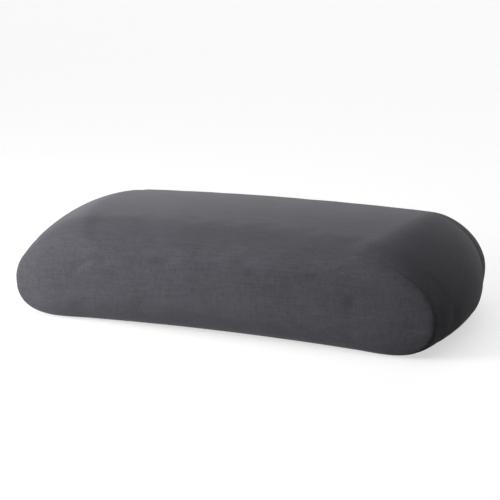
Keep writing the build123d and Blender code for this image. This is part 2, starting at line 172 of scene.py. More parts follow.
def bulge_points(x, z, share, shape, depth, slope=0.0):
    """X, distance past the seam and Z of a bulge, a share of the way from its seam to its face.

    Its profile is a quarter turn. The slope is how fast it already draws in where it leaves its seam.
    """
    corner = np.clip(depth * slope / shape["top"], 0, BULGE_CORNER_MOST)
    weight = np.cos((pi / 2 - np.arctan(slope)) / 2)
    turning = 2 * weight * share * (1 - share)
    total = (1 - share) ** 2 + turning + share**2
    drawn_in = (turning * corner + share**2) / total
    return (
        x * (1 - shape["end"] / HALF_LENGTH * drawn_in),
        depth * (turning + share**2) / total,
        bulge_height(z, shape, drawn_in),
    )


class Outline:
    """The pad's outline at some stations and angles, with what the front, band and back need of it."""

    def __init__(self, station, angle):
        self.station, self.angle = np.broadcast_arrays(station, angle)
        self.x = HALF_LENGTH * np.cos(self.angle)
        backness = np.clip(self.station - FRONT_SEAM, 0, 1)
        self.z = outline_height(self.x, np.sin(self.angle) >= 0, backness)
        self.span = 1 - (self.x / HALF_LENGTH) ** 2
        up = np.clip(self.z / SHOULDER_HEIGHT, 0, 1)
        self.lift_top = ARCH_TOP * self.span * up**2 + BACK_RISE * up * backness
        self.lift_foot = ARCH_FOOT * self.span * (1 - up) ** 2
        self.above = np.clip((self.z - WIDEST_HEIGHT) / (SHOULDER_HEIGHT - WIDEST_HEIGHT), 0, 1)
        self.ridge = smooth(RIDGE_FADE, 1, self.above)
        self.seam_y = FRONT_SEAM_Y - FRONT_SEAM_LEAD + FRONT_HOLLOW * self.span
        self.band_half = BAND_MIDDLE_Y - self.seam_y


def front_skin(at):
    """Points of the front, from the line that it closes on to the front seam."""
    slope = 2 * RIDGE_DROP * at.ridge / ((1 - RIDGE_START) * at.band_half)
    slope = slope + 2 * BAND_TOP_SWELL * at.above / at.band_half
    depth = FRONT_BULGE["depth"] + FRONT_FILL * at.span
    share = np.clip(FRONT_SEAM - at.station, 0, 1)
    x, past, z = bulge_points(at.x, at.z - RIDGE_DROP * at.ridge, share, FRONT_BULGE, depth, slope)
    y = at.seam_y - past
    line_x = FRONT_LINE_HALF * np.cos(turn_back(FRONT_SPLIT, at.angle))
    line_span = 1 - (line_x / (HALF_LENGTH - FRONT_BULGE["end"])) ** 2
    line_y = FRONT_SEAM_Y - FRONT_SEAM_LEAD - FRONT_BULGE["depth"]
    line_y = line_y + (FRONT_HOLLOW - FRONT_FILL) * line_span
    line_z = FRONT_BULGE["middle"]
    face = np.clip(at.station, 0, 1)
    x = line_x + (x - line_x) * face
    y = line_y + (y - line_y) * face - FRONT_CROWN * (1 - face**2) ** 2
    z = line_z + (z + at.lift_top + at.lift_foot - line_z) * face
    return np.stack((x, y, z), axis=-1)


def band_skin(at):
    """Points of the band, from the front seam to the back seam."""
    across = 2 * np.clip(at.station - FRONT_SEAM, 0, 1) - 1
    swell = 1 - across**2
    x = at.x * (1 + BAND_END_SWELL / HALF_LENGTH * swell)
    y = BAND_MIDDLE_Y + across * np.where(across < 0, at.band_half, BACK_SEAM_Y - BAND_MIDDLE_Y)
    past_start = np.clip((-across - RIDGE_START) / (1 - RIDGE_START), 0, 1)
    roll_over = RIDGE_DROP * at.ridge * past_start**2
    lift = at.lift_top + at.lift_foot * ((1 - across) / 2) ** 4 + BAND_TOP_SWELL * swell * at.above
    return np.stack((x, y, at.z + lift - roll_over), axis=-1)


def back_skin(at):
    """Points of the back, from the back seam to the zip's slot."""
    at_end = (at.x / HALF_LENGTH) ** 4
    swell = BAND_END_CARRY * BAND_END_SWELL * at_end + BAND_TOP_SWELL * at.above * (1 - at_end)
    slope = 2 * swell / (BACK_SEAM_Y - BAND_MIDDLE_Y)
    share = np.clip(at.station - BACK_SEAM, 0, 1)
    x, past, z = bulge_points(at.x, at.z, share, BACK_BULGE, BACK_DEPTH, slope)
    edge_x = SLOT_EDGE_X * np.cos(turn_back(BACK_SPLIT, at.angle))
    is_upper = (at.angle >= BACK_SPLIT) & (at.angle <= pi - BACK_SPLIT)
    edge_z = ZIP_Z + np.where(is_upper, 1, -1) * slot_half(edge_x)
    face = 1 - np.clip(at.station - BACK_EDGE, 0, 1)
    x = edge_x + (x - edge_x) * face
    z = edge_z + (z + at.lift_top - edge_z) * face
    return np.stack((x, BACK_SEAM_Y + past, z), axis=-1)


def skin(station, angle):
    """Points of the pad's taut outer surface."""
    at = Outline(station, angle)
    station = at.station[..., None]
    behind = np.where(station <= BACK_SEAM, band_skin(at), back_skin(at))
    return np.where(station < FRONT_SEAM, front_skin(at), behind)


STEP = 1e-4  # a short way along the stations or the angles, for slopes


def outward(station, angle, low=0.0, high=ZIP_EDGE):
    """Outward normals of the surface, from stations between low and high."""
    station, angle = np.broadcast_arrays(station, angle)
    before = np.clip(station - STEP, low, high - 2 * STEP)
    along = skin(before + 2 * STEP, angle) - skin(before, angle)
    around = skin(station.clip(low + STEP / 2, high - STEP / 2), angle + STEP)
    around = around - skin(station.clip(low + STEP / 2, high - STEP / 2), angle - STEP)
    return unit(np.cross(along, around))


def seam_outward(seam, angle):
    """The direction that the two panels at a seam share, square to the run of the seam."""
    before, after = outward(seam - 2 * STEP, angle, high=seam), outward(seam + 2 * STEP, angle, low=seam)
    return unit(before + after)


# ---- Meshes -------------------------------------------------------------------------------------
MERGE = 1e-7


def add_object(name, data):
    """Put a mesh, a light or a camera into the scene."""
    item = bpy.data.objects.new(name, data)
    bpy.context.scene.collection.objects.link(item)
    return item


def new_object(name, vertices, faces):
    """A smooth-shaded mesh object. Vertices that fall together are merged."""
    mesh = bpy.data.meshes.new(name)
    mesh.from_pydata([tuple(v) for v in vertices], [], faces)
    shape = bmesh.new()
    shape.from_mesh(mesh)
    bmesh.ops.remove_doubles(shape, verts=shape.verts, dist=MERGE)
    bmesh.ops.recalc_face_normals(shape, faces=shape.faces)
    shape.to_mesh(mesh)
    shape.free()
    mesh.polygons.foreach_set("use_smooth", [True] * len(mesh.polygons))
    return add_object(name, mesh)


def grid_faces(rows, columns, closed=False):
    """Quads of a grid of vertices, whose last column may meet its first."""
    faces = []
    for row in range(rows - 1):
        for column in range(columns if closed else columns - 1):
            here = row * columns + column
            right = row * columns + (column + 1) % columns
            faces.append((here, right, right + columns, here + columns))
    return faces


def apply_modifiers(piece):
    """Bake a piece's modifiers into its mesh."""
    graph = bpy.context.evaluated_depsgraph_get()
    mesh = bpy.data.meshes.new_from_object(piece.evaluated_get(graph))
    piece.modifiers.clear()
    piece.data = mesh
    mesh.name = piece.name


# ---- Cover panels -------------------------------------------------------------------------------
CLOTH = 0.0009  # thickness
HEM_DEPTH = 0.0030
SEAM_SLIT = 0.00003  # half of the gap between two panels' edges
ROLL_AT_ENDS = 0.0009  # radius at which a panel's edge turns into its seam
ROLL_AT_BACK = 0.0004
ROLL_AT_TOP = 0.00006
ROLL_FADE = 1.2  # runs of the upper corner over which the top's radius grows to that of the ends
BESIDE_ROLL = 0.0002  # a row of open cloth this far from the roll keeps its shading short
ROLL_TURNS = np.radians((0, 12, 35, 60, 90))
ZIP_ROLL = 0.0006
ZIP_HEM = 0.0012
COLUMNS = 190  # columns of half a turn
FACE_ROWS = 14  # rows of open cloth: on the front face
EDGE_ROWS = 14  # from there to the front seam
BAND_ROWS = 84  # across the band
BACK_EDGE_ROWS = 22  # from the back seam to the flat back face
BACK_FACE_ROWS = 24  # from there to the zip
EDGE_GAP = 0.16  # stations between the open rows and those of a seam, in front, on the band and behind
BAND_GAP = 0.014
BACK_GAP = 0.04
TURN_GAP = 1e-3  # angle that the back panels leave free at each end


def per_metre(seam, side, angles):
    """Stations in a metre, next to a seam."""
    reach = skin(seam + 3 * side * STEP, angles) - skin(seam + side * STEP, angles)
    return 2 * STEP / np.linalg.norm(reach, axis=-1)


def roll_radius(seam, angle):
    """The edge's radius is smaller along the stretched top than at the ends and the base."""
    x = np.abs(HALF_LENGTH * np.cos(angle))
    straight_end = HALF_LENGTH - ROLL_FADE * UPPER_CORNER["run"]
    on_top = (np.sin(angle) > 0) * (1 - smooth(straight_end, HALF_LENGTH, x))
    at_ends = ROLL_AT_ENDS if seam == FRONT_SEAM else ROLL_AT_BACK
    return at_ends + (ROLL_AT_TOP - at_ends) * on_top


class Row:
    """One row of a panel's grid: points of the surface, outward directions and depths under it."""

    def __init__(self, angles, station, depth=0.0, seam=None, low=0.0, high=ZIP_EDGE):
        station = np.broadcast_to(np.asarray(station, float), angles.shape)
        self.depth = np.broadcast_to(np.asarray(depth, float), angles.shape)
        if seam is None:
            self.outward = outward(station, angles, low, high)
        else:
            self.outward = seam_outward(seam, angles)
        self.points = skin(station, angles) + self.outward * relief(station, angles)[:, None]


def seam_rows(angles, seam, side):
    """Rows that turn into a seam, from the open cloth to the end of the hem."""
    radius = roll_radius(seam, angles)
    scale = side * per_metre(seam, side, angles)
    rows = [Row(angles, seam + scale * (SEAM_SLIT + radius + BESIDE_ROLL), seam=seam)]
    for turn in ROLL_TURNS:
        gap = SEAM_SLIT + radius * (1 - np.sin(turn))
        rows.append(Row(angles, seam + scale * gap, radius * (1 - np.cos(turn)), seam))
    rows.append(Row(angles, seam + scale * SEAM_SLIT, radius + HEM_DEPTH, seam))
    return rows


def open_rows(angles, stations, low, high):
    """Rows of open cloth."""
    return [Row(angles, station, low=low, high=high) for station in stations]


def panel(name, rows, column_depth=0.0, closed=False):
    """A closed cloth shell from its rows."""
    points = [row.points - row.outward * (row.depth + column_depth)[:, None] for row in rows]
    vertices = np.concatenate(points)
    piece = new_object(name, vertices, grid_faces(len(rows), len(rows[0].points), closed))
    solid = piece.modifiers.new("cloth", "SOLIDIFY")
    solid.thickness = CLOTH
    solid.offset = -1
    apply_modifiers(piece)
    return piece


def make_front_panel():
    """The front of the cover: a flat face whose edge turns over into the front seam."""
    turns = np.arange(2 * COLUMNS) * pi / COLUMNS
    angles = turn_from(FRONT_SPLIT, turns)
    rows = open_rows(angles, np.linspace(0, FACE_EDGE, FACE_ROWS, endpoint=False), 0, FRONT_SEAM)
    rows += open_rows(angles, np.linspace(FACE_EDGE, FRONT_SEAM - EDGE_GAP, EDGE_ROWS), 0, FRONT_SEAM)
    rows += seam_rows(angles, FRONT_SEAM, -1)
    return panel("front_panel", rows, closed=True)


def base_edge_columns(side):
    """Angles and depths of the columns that turn into the base's end seam, on one side of it."""
    gaps = SEAM_SLIT + ROLL_AT_ENDS * (1 - np.sin(ROLL_TURNS))
    depths = ROLL_AT_ENDS * (1 - np.cos(ROLL_TURNS))
    gaps = np.append(gaps, SEAM_SLIT)
    depths = np.append(depths, ROLL_AT_ENDS + HEM_DEPTH)
    return -np.arccos((BASE_END_X + side * gaps) / HALF_LENGTH), depths


def band_rows(angles):
    """Rows from the front seam to the back seam."""
    rows = seam_rows(angles, FRONT_SEAM, 1)[::-1]
    stations = np.linspace(FRONT_SEAM + BAND_GAP, BACK_SEAM - BAND_GAP, BAND_ROWS)
    rows += open_rows(angles, stations, FRONT_SEAM, BACK_SEAM)
    return rows + seam_rows(angles, BACK_SEAM, -1)


def make_wrap_band():
    """The band over the top and round both ends, down to the base's end seams."""
    edge, depths = base_edge_columns(1)
    middle_angles = np.linspace(edge[0], pi - edge[0], 2 * COLUMNS)[1:-1]
    angles = np.concatenate((edge[::-1], middle_angles, pi - edge))
    depth = np.concatenate((depths[::-1], np.zeros(len(middle_angles)), depths))
    return panel("wrap_band", band_rows(angles), depth)


def make_base_panel():
    """The flat panel that the pad rests on."""
    edge, depths = base_edge_columns(-1)
    reach = HALF_LENGTH * cos(edge[0])
    across = np.linspace(-reach, reach, COLUMNS)[1:-1]
    middle_angles = 2 * pi - np.arccos(across / HALF_LENGTH)
    angles = np.concatenate(((pi - edge)[::-1], middle_angles, edge + 2 * pi))
    depth = np.concatenate((depths[::-1], np.zeros(len(middle_angles)), depths))
    return panel("base_panel", band_rows(angles), depth)


def make_back_panel(name, first_turn):
    """Half of the back, from the back seam to the zip, whose edge turns in along the zip's slot."""
    turns = np.linspace(first_turn + TURN_GAP, first_turn + pi - TURN_GAP, COLUMNS)
    angles = turn_from(BACK_SPLIT, turns)
    rows = seam_rows(angles, BACK_SEAM, 1)[::-1]
    stations = np.linspace(BACK_SEAM + BACK_GAP, BACK_EDGE, BACK_EDGE_ROWS)
    rows += open_rows(angles, stations, BACK_SEAM, ZIP_EDGE)
    reach = np.linalg.norm(skin(BACK_EDGE, angles) - skin(ZIP_EDGE, angles), axis=-1)
    last_open = ZIP_EDGE - 2 * ZIP_ROLL / reach
    for share in np.linspace(0, 1, BACK_FACE_ROWS)[1:]:
        rows.append(Row(angles, BACK_EDGE + (last_open - BACK_EDGE) * share))
    for turn in ROLL_TURNS:
        gap = ZIP_ROLL * (1 - np.sin(turn)) / reach
        rows.append(Row(angles, ZIP_EDGE - gap, ZIP_ROLL * (1 - np.cos(turn))))
    rows.append(Row(angles, ZIP_EDGE, ZIP_HEM))
    return panel(name, rows)


# ---- Relief on the taut surface -----------------------------------------------------------------
STITCH_INSET = 0.0005  # the rows lie this far inside the ends of the CAD bar tacks
STITCH_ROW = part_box("zip_topstitching")[1].z - ZIP_Z - STITCH_INSET
STITCH_SINK = 0.0003
STITCH_SINK_WIDTH = 0.0007
FOLD = {"x": 0.194, "z": 0.030, "half_length": 0.009, "half_width": 0.0030, "depth": 0.0011}
DIMPLE = {"x": -0.131, "y": -0.088, "half_length": 0.010, "half_width": 0.005, "depth": 0.0007}
PUCKER_HEIGHT = 0.00032  # small creases where the front seam goes round the pad's ends
PUCKER_PITCH = 0.0105
PUCKER_REACH = 0.013
PUCKER_FROM_X = (0.13, 0.17)  # they fade in over this length and this height
PUCKER_FROM_Z = (0.003, 0.012)
PUCKER_STRAY = 2.0  # how unevenly they are spaced, and how often that changes round the pad
PUCKER_STRAYS = 9


def hollow(across_x, across_y, shape):
    """0 to 1: the depth of a soft oval hollow."""
    return np.exp(-((across_x / shape["half_length"]) ** 2) - (across_y / shape["half_width"]) ** 2)


def relief(station, angle):
    """How far the cover stands off the taut surface.

    That is its fold, dimple and creases, the zip's sunk stitch lines and the simulated drape.
    """
    points = skin(station, angle)
    x, y, z = points[..., X], points[..., Y], points[..., Z]
    across = np.abs(z - ZIP_Z) - STITCH_ROW
    on_back = (station > BACK_EDGE) * (1 - smooth(ZIP_SLOT_END, SLOT_EDGE_X, np.abs(x)))
    height = -STITCH_SINK * on_back * np.exp(-((across / STITCH_SINK_WIDTH) ** 2))
    on_front = station < FRONT_SEAM
    height = height - FOLD["depth"] * on_front * hollow(x - FOLD["x"], z - FOLD["z"], FOLD)
    on_top = (station > FRONT_SEAM) * (z > WIDEST_HEIGHT)
    height = height - DIMPLE["depth"] * on_top * hollow(x - DIMPLE["x"], y - DIMPLE["y"], DIMPLE)

    from_seam = np.linalg.norm(points - skin(FRONT_SEAM, angle), axis=-1)
    at_end = smooth(*PUCKER_FROM_X, np.abs(x)) * smooth(*PUCKER_FROM_Z, z)
    stray = PUCKER_STRAY * np.sin(PUCKER_STRAYS * angle)
    waves = np.sin(2 * pi * z / PUCKER_PITCH + stray) * np.sin(pi * z / PUCKER_PITCH)
    reach = np.sin(pi * np.clip(from_seam / PUCKER_REACH, 0, 1))
    height = height + PUCKER_HEIGHT * on_front * at_end * waves * reach
    return height + drape.sample(station, angle)


SIM_COLUMNS = 200
SIM_ROWS = (9, 9, 44, 11, 15)  # rows from each whole station to the next, both counted
SIM_FRAMES = 20
SIM_PRESSURE = 4.0
SIM_SLACK = -0.015  # shrink share: below 0, so the cloth is cut larger than the taut surface
SIM_CAP = 0.0005  # the furthest that a point may move off the taut surface
FLOOR_CLEAR = 0.002  # lower than this the cover rests on the floor


class Drape:
    """The cloth's movement off the taut surface under the foam's pressure, on a coarse grid."""

    def __init__(self):
        edges = (0.0, FACE_EDGE, FRONT_SEAM, BACK_SEAM, BACK_EDGE, ZIP_EDGE)
        spans = zip(edges, edges[1:], SIM_ROWS)
        self.stations = np.concatenate(([0.0], *(np.linspace(*span)[1:] for span in spans)))
        self.angles = np.arange(SIM_COLUMNS) * 2 * pi / SIM_COLUMNS
        self.height = np.zeros((len(self.stations), SIM_COLUMNS))

    def simulate(self):
        """Inflate the cover between its seams for a few frames, and keep how far it moves."""
        points = skin(self.stations[:, None], self.angles[None, :])
        normals = outward(self.stations[:, None], self.angles[None, :])
        mesh = bpy.data.meshes.new("cover_cloth")
        faces = [face[::-1] for face in grid_faces(len(self.stations), SIM_COLUMNS, closed=True)]
        mesh.from_pydata([tuple(point) for point in points.reshape(-1, 3)], [], faces)
        cover = add_object("cover_cloth", mesh)
        sewn = np.isin(self.stations, (0, FRONT_SEAM, BACK_SEAM, ZIP_EDGE))[:, None]
        resting = points[..., Z] < FLOOR_CLEAR
        pins = cover.vertex_groups.new(name="pins")
        pins.add([int(place) for place in np.flatnonzero(sewn | resting)], 1.0, "REPLACE")
        cloth = cover.modifiers.new("cloth", "CLOTH")
        settings = cloth.settings
        settings.vertex_group_mass = "pins"
        settings.use_pressure = True
        settings.uniform_pressure_force = SIM_PRESSURE
        settings.shrink_min = SIM_SLACK
        settings.effector_weights.gravity = 0
        cloth.point_cache.frame_end = SIM_FRAMES
        scene = bpy.context.scene
        for frame_number in range(1, SIM_FRAMES + 1):
            scene.frame_set(frame_number)
        apply_modifiers(cover)
        moved = np.empty(len(cover.data.vertices) * 3)
        cover.data.vertices.foreach_get("co", moved)
        height = ((moved.reshape(points.shape) - points) * normals).sum(axis=-1)
        height = np.where(sewn | resting, 0, SIM_CAP * np.tanh(height / SIM_CAP))
        for axis in (0, 1):
            height = (np.roll(height, 1, axis) + 2 * height + np.roll(height, -1, axis)) / 4
        # Round the front line the pinned row would leave blotches, so the front face stays taut there
        fade = smooth(0, FACE_EDGE, self.stations)[:, None]
        self.height = np.where(sewn | resting, 0, height) * fade
        bpy.data.objects.remove(cover)
        scene.frame_set(1)

    def sample(self, station, angle):
        """The height at stations and angles, between the points of the grid."""
        station, angle = np.broadcast_arrays(station, angle)
        row = np.interp(station, self.stations, np.arange(len(self.stations)))
        column = (angle % (2 * pi)) / (2 * pi) * SIM_COLUMNS
        low_row = np.minimum(row.astype(int), len(self.stations) - 2)
        low_column = column.astype(int) % SIM_COLUMNS
        high_column = (low_column + 1) % SIM_COLUMNS
        down, along = row - low_row, column - np.floor(column)
        first = self.height[low_row, low_column] * (1 - along) + self.height[low_row, high_column] * along
        second = self.height[low_row + 1, low_column] * (1 - along)
        second = second + self.height[low_row + 1, high_column] * along
        return first * (1 - down) + second * down


drape = Drape()
drape.simulate()

# ---- Foam block ---------------------------------------------------------------------------------
CORE_INSET = 0.0022
CORE_GROOVE = 0.0062  # depth of the grooves that take the hems
GROOVE_HALF = 0.0022
CHANNEL_DEPTH = 0.0046  # the shallow channel behind the zip
CHANNEL_HALF_Z = 0.0145
CHANNEL_HALF_X = 0.179
CHANNEL_SIDE = 0.002  # width of the channel's slopes
CHANNEL_PAST_SEAM = 0.02  # the channel is cut only where the foam is further back than this
CORE_COLUMNS = 110  # columns of half a turn
CORE_FRONT = (0.0, FRONT_SEAM - 0.3, 12)  # first station, last station and rows of each stretch
CORE_BAND = (FRONT_SEAM + 0.05, BACK_SEAM - 0.05, 30)
CORE_BACK_EDGE = (BACK_SEAM + 0.12, BACK_EDGE, 12)
CORE_BACK_FACE = (BACK_EDGE + 0.06, ZIP_EDGE - 0.02, 16)
GROOVE_FLOOR = 0.9  # half width of a groove's floor, as a share of its half width at the top


def make_foam_block():
    """The foam that fills the cover, from the front line round to the zip."""
    angles = np.arange(2 * CORE_COLUMNS) * pi / CORE_COLUMNS
    angles = turn_from(BACK_SPLIT, angles + pi / (2 * CORE_COLUMNS))
    rows = open_rows(angles, np.linspace(*CORE_FRONT), 0, FRONT_SEAM)
    groove = CORE_GROOVE - CORE_INSET
    for seam in (FRONT_SEAM, BACK_SEAM):
        before, after = per_metre(seam, -1, angles), per_metre(seam, 1, angles)
        rows.append(Row(angles, seam - GROOVE_HALF * before, seam=seam))
        rows.append(Row(angles, seam - GROOVE_FLOOR * GROOVE_HALF * before, groove, seam))
        rows.append(Row(angles, seam + GROOVE_FLOOR * GROOVE_HALF * after, groove, seam))
        rows.append(Row(angles, seam + GROOVE_HALF * after, seam=seam))
        if seam == FRONT_SEAM:
            rows += open_rows(angles, np.linspace(*CORE_BAND), FRONT_SEAM, BACK_SEAM)
    rows += open_rows(angles, np.linspace(*CORE_BACK_EDGE), BACK_SEAM, ZIP_EDGE)
    rows += open_rows(angles, np.linspace(*CORE_BACK_FACE), BACK_SEAM, ZIP_EDGE)
    points = np.stack([row.points - row.outward * (row.depth + CORE_INSET)[:, None] for row in rows])
    beside = smooth(0, CHANNEL_SIDE, CHANNEL_HALF_Z - np.abs(points[..., Z] - ZIP_Z))
    beside = beside * smooth(0, CHANNEL_SIDE, CHANNEL_HALF_X - np.abs(points[..., X]))
    behind = points[..., Y] > BACK_SEAM_Y + CHANNEL_PAST_SEAM
    points[..., Y] -= (CHANNEL_DEPTH - CORE_INSET) * beside * behind
    closing = points[-1].copy()
    closing[:, Z] = ZIP_Z
    vertices = np.concatenate((points.reshape(-1, 3), closing))
    return new_object("foam_block", vertices, grid_faces(len(rows) + 1, len(angles), closed=True))


# ---- Stitches -----------------------------------------------------------------------------------
THREAD_RADIUS = 0.00017
TACK_THREAD_RADIUS = 0.00021
THREAD_SIDES = 6
THREAD_TIP = 0.05  # thinnest share of its radius that a stitch tapers to
STITCH_DIVE = 4  # how steeply a stitch's ends go down into the cloth
SEAM_STITCH_SINK = 0.6  # depth of a seam's stitches, as a share of its roll radius
TOPSTITCH_STAND = 0.6  # share of its radius by which a topstitch's middle stands off the sunk cloth
STITCH_SHAPE = ((-0.5, 0.0), (-0.47, 0.6), (-0.38, 0.95), (0.38, 0.95), (0.47, 0.6), (0.5, 0.0))
STITCH_PITCH = 0.0030
STITCH_SHARE = 0.82  # share of the pitch that a stitch covers
SEAM_SAMPLES = 6001
END_SEAM = (BACK_SEAM + 0.05, ZIP_EDGE - 0.5, 200)  # first station, last station and samples
END_SEAM_SIDE = 1e-6  # angle from the split, so that the seam lies on one back panel
BASE_SEAM_FREE = (0.006, 0.004)  # the base's end seams stop this far from the front and back seams
TACK_ROWS = 26
TACK_HALF_LENGTH = 0.0011
TACK_SLANT = 0.00012


def stitches(name, middles, alongs, ups, length, radius=THREAD_RADIUS):
    """A row of short stitches, each a rounded rod that dives into the cloth at its ends."""
    vertices, faces = [], []
    for middle_point, along, up in zip(middles, alongs, ups):
        side = unit(np.cross(up, along))
        lift = np.cross(along, side)
        first = len(vertices)
        for place, girth in STITCH_SHAPE:
            centre = middle_point + along * place * length - lift * radius * STITCH_DIVE * place**2
            for corner in range(THREAD_SIDES):
                turn = 2 * pi * corner / THREAD_SIDES
                ring = side * cos(turn) + lift * sin(turn)
                vertices.append(centre + ring * radius * max(girth, THREAD_TIP))
        for face in grid_faces(len(STITCH_SHAPE), THREAD_SIDES, closed=True):
            faces.append(tuple(first + corner for corner in face))
        faces.append(tuple(first + corner for corner in range(THREAD_SIDES)))
        last = first + (len(STITCH_SHAPE) - 1) * THREAD_SIDES
        faces.append(tuple(last + corner for corner in range(THREAD_SIDES)))
    return new_object(name, vertices, faces)


def paced(line):
    """The distance travelled at each point of a line, and at the middle of each stitch along it."""
    travelled = np.append(0, np.cumsum(np.linalg.norm(np.diff(line, axis=0), axis=1)))
    count = int(travelled[-1] / STITCH_PITCH)
    return travelled, (np.arange(count) + 0.5) / count * travelled[-1]


def seam_stitches(name, seam):
    """Stitches deep in the groove of a seam that runs right round the pad."""
    angles = np.linspace(0, 2 * pi, SEAM_SAMPLES)
    travelled, paces = paced(skin(seam + 2 * STEP, angles))
    places = np.interp(paces, travelled, angles)
    alongs = unit(skin(seam + 2 * STEP, places + STEP) - skin(seam + 2 * STEP, places - STEP))
    ups = seam_outward(seam, places)
    sink = SEAM_STITCH_SINK * roll_radius(seam, places) + THREAD_RADIUS
    middles = skin(seam, places) - ups * sink[:, None]
    return stitches(name, middles, alongs, ups, STITCH_PITCH * STITCH_SHARE)


def straight_stitches(name, runs, pitch, share, radius=THREAD_RADIUS):
    """Stitches along straight runs, each given by its two ends and its outward direction."""
    middles, alongs, ups = [], [], []
    for start, end, up in runs:
        start, end = np.array(start), np.array(end)
        count = max(1, round(float(np.linalg.norm(end - start)) / pitch))
        for place in (np.arange(count) + 0.5) / count:
            middles.append(start + (end - start) * place)
            alongs.append(unit(end - start))
            ups.append(np.array(up, float))
    return stitches(name, middles, alongs, ups, pitch * share, radius)


def make_base_stitches():
    """The base's end seams."""
    height = SEAM_STITCH_SINK * ROLL_AT_ENDS + THREAD_RADIUS
    front_y, back_y = FRONT_SEAM_Y + BASE_SEAM_FREE[0], BACK_SEAM_Y - BASE_SEAM_FREE[1]
    runs = []
    for x in (-BASE_END_X, BASE_END_X):
        runs.append(((x, front_y, height), (x, back_y, height), (0, 0, -1)))
    return straight_stitches("base_seam_stitches", runs, STITCH_PITCH, STITCH_SHARE)


def make_back_end_stitches():
    """The two short seams that join the back panels past the ends of the zip."""
    stations = np.linspace(*END_SEAM)
    middles, alongs, ups = [], [], []
    for angle in (BACK_SPLIT + END_SEAM_SIDE, pi - BACK_SPLIT - END_SEAM_SIDE):
        line = skin(stations, np.full(len(stations), angle))
        line[:, Z] = ZIP_Z
        travelled, paces = paced(line)
        for place in paces:
            here = np.array([np.interp(place, travelled, line[:, axis]) for axis in (X, Y, Z)])
            ahead = np.array([np.interp(place + STEP, travelled, line[:, axis]) for axis in (X, Y, Z)])
            along = unit(ahead - here)
            up = np.cross(along, (0, 0, 1.0)) * (1 if angle > 1 else -1)
            middles.append(here - up * THREAD_RADIUS)
            alongs.append(along)
            ups.append(up)
    return stitches("back_end_stitches", middles, alongs, ups, STITCH_PITCH * STITCH_SHARE)


def make_topstitches():
    """Two rows of stitches beside the zip, and a bar tack across each end."""
    y = BACK_FACE_Y - STITCH_SINK + TOPSTITCH_STAND * THREAD_RADIUS
    runs = []
    for z in (ZIP_Z - STITCH_ROW, ZIP_Z + STITCH_ROW):
        runs.append(((-ZIP_SLOT_END, y, z), (ZIP_SLOT_END, y, z), (0, 1, 0)))
    rows = straight_stitches("zip_topstitches", runs, STITCH_PITCH, STITCH_SHARE)
    y = BACK_FACE_Y + THREAD_RADIUS
    runs = []
    for x in (-TAPE_END_X, TAPE_END_X):
        for row in range(TACK_ROWS):
            z = ZIP_Z + STITCH_ROW * (2 * (row + 0.5) / TACK_ROWS - 1)
            slant = TACK_SLANT * (1 if row % 2 else -1)
            start, end = (x - TACK_HALF_LENGTH, y, z - slant), (x + TACK_HALF_LENGTH, y, z + slant)
            runs.append((start, end, (0, 1, 0)))
    tacks = straight_stitches("zip_bar_tacks", runs, 2 * TACK_HALF_LENGTH, 1, TACK_THREAD_RADIUS)
    return rows, tacks


# ---- Zip coils ----------------------------------------------------------------------------------
COIL_WIRE = 0.00034  # radius of the nylon filament
COIL_PITCH = 0.0020
COIL_LAG = 0.12  # share of the pitch by which a turn's upper and lower sides lead and lag
COIL_TURN_POINTS = 14
COIL_SIDES = 6


def tube(name, points, radius, sides):
    """A round tube with closed ends along a row of points."""
    points = np.asarray(points)
    alongs = unit(np.gradient(points, axis=0))
    side = np.cross(alongs[0], (0, 1.0, 0))
    vertices = []
    for point, along in zip(points, alongs):
        side = unit(side - along * np.dot(side, along))
        other = np.cross(along, side)
        for corner in range(sides):
            turn = 2 * pi * corner / sides
            vertices.append(point + radius * (side * cos(turn) + other * sin(turn)))
    faces = grid_faces(len(points), sides, closed=True)
    faces.append(tuple(range(sides)))
    faces.append(tuple(len(vertices) - sides + corner for corner in range(sides)))
    return new_object(name, vertices, faces)


def make_coil(half, side):
    """One wound coil of the zip: flat oval turns whose heads reach just past the zip's middle."""
    low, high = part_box("zip_coil_" + half)
    start, end = low.x + COIL_WIRE, high.x - COIL_WIRE
    turns = int((end - start) / COIL_PITCH) - 1
    inner = min(abs(low.z - ZIP_Z), abs(high.z - ZIP_Z))
    outer = max(abs(low.z - ZIP_Z), abs(high.z - ZIP_Z))
    centre_z = (outer - inner) / 2
    reach_z = (outer + inner) / 2 - COIL_WIRE
    centre_y = (low.y + high.y) / 2
    reach_y = (high.y - low.y) / 2 - COIL_WIRE
    phase = 0.5 if side > 0 else 0.0
    steps = np.arange(turns * COIL_TURN_POINTS + 1) / COIL_TURN_POINTS
    around = 2 * pi * steps
    lag = np.sin(around) * COIL_PITCH * COIL_LAG
    points = np.stack(
        (
            start + (steps + phase) * COIL_PITCH + lag,
            centre_y + reach_y * np.sin(around),
            ZIP_Z + side * (centre_z - reach_z * np.cos(around)),
        ),
        axis=1,
    )
    return tube("coil_" + half, points, COIL_WIRE, COIL_SIDES)


# ---- Camera and light ---------------------------------------------------------------------------
CAMERA_AROUND = 22.17  # degrees
CAMERA_ABOVE = 14.16
CAMERA_DISTANCE = 1.3729
CAMERA_LENS = 100.5
CAMERA_TARGET = Vector((0, -0.016, 0.0455))
CAMERA_TILT_UP = 0.715  # degrees above the target
CAMERA_REACH = 60
WORLD_STRENGTH = 0.035
FLOOR_GREY = 0.45
FLOOR_GLOW = 0.60
WALL_GLOW = 0.76
STAGE_HALF = 12.0
WALL_SIDES = 48
WALL_FOOT = -1.0


